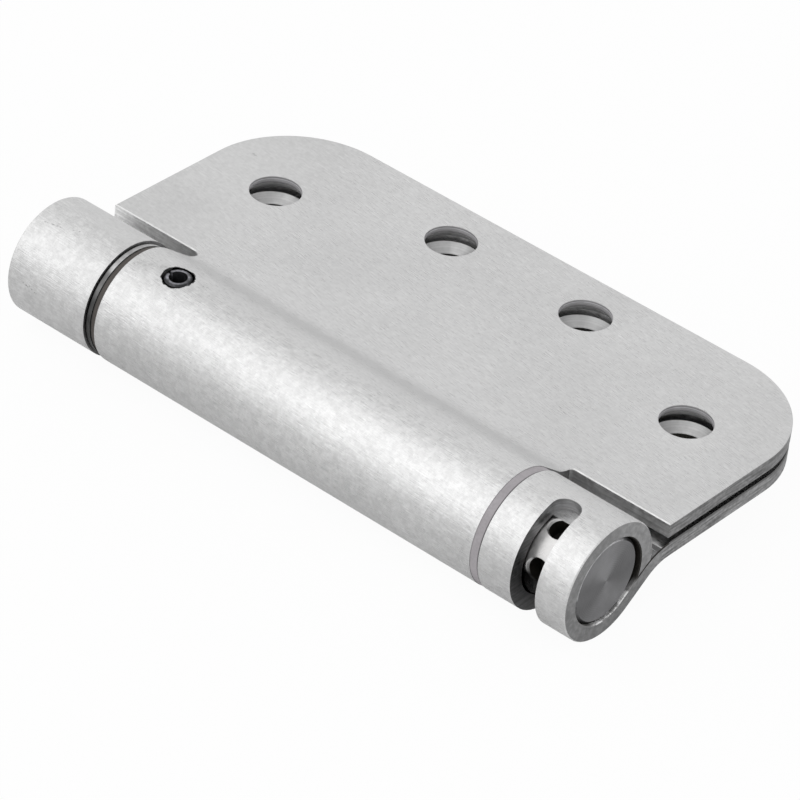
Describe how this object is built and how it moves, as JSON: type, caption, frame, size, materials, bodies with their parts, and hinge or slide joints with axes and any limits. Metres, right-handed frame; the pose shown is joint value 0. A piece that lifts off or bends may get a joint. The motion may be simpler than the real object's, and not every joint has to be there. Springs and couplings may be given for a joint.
{
  "type": "spring loaded door hinge",
  "caption": "Self-closing butt hinge in brushed steel: two folded leaves with countersunk screw holes and rounded corners, round barrel with a torsion spring and a slotted adjuster.",
  "frame": {"origin": "on the pin axis, at mid length of the hinge", "axes": "+X along the pin axis towards the adjuster's end, +Y from the pin axis to the leaves' free edges, +Z out of the door leaf's back when the hinge is closed"},
  "size_m": [0.1016, 0.0597, 0.0179],
  "materials": {
    "leaf_steel": "satin brushed",
    "plug_steel": "turned",
    "pin_steel": "ground bright",
    "washer_steel": "stamped",
    "black_steel": "oiled black",
    "brown_acetal": "moulded",
    "pale_acetal": "moulded"
  },
  "bodies": {
    "frame_side": {"frame_leaf": "leaf_steel", "left_end_plug": "plug_steel", "pintle_pin": "pin_steel", "thrust_washer": "washer_steel", "spindle_washer": "washer_steel", "right_end_plug": "plug_steel"},
    "door_side": {"door_leaf": "leaf_steel", "left_bushing": "brown_acetal", "right_bushing": "pale_acetal", "anchor_plug": "plug_steel", "anchor_roll_pin": "black_steel", "torsion_spring": "black_steel"},
    "spindle": {"adjusting_spindle": "pin_steel"}
  },
  "joints": [
    {"name": "leaf_hinge", "type": "hinge", "parent": "frame_side", "child": "door_side", "pos_m": [0, 0, 0], "axis": [1, 0, 0], "range_deg": [0, 180], "stiffness_Nm_per_rad": 0.28, "springref_deg": -90, "deforming": ["torsion_spring"]},
    {"name": "spindle_wind", "type": "hinge", "parent": "frame_side", "child": "spindle", "pos_m": [0.04367, 0, 0], "axis": [1, 0, 0], "range_deg": [-180, 0], "deforming": ["torsion_spring"]}
  ]
}
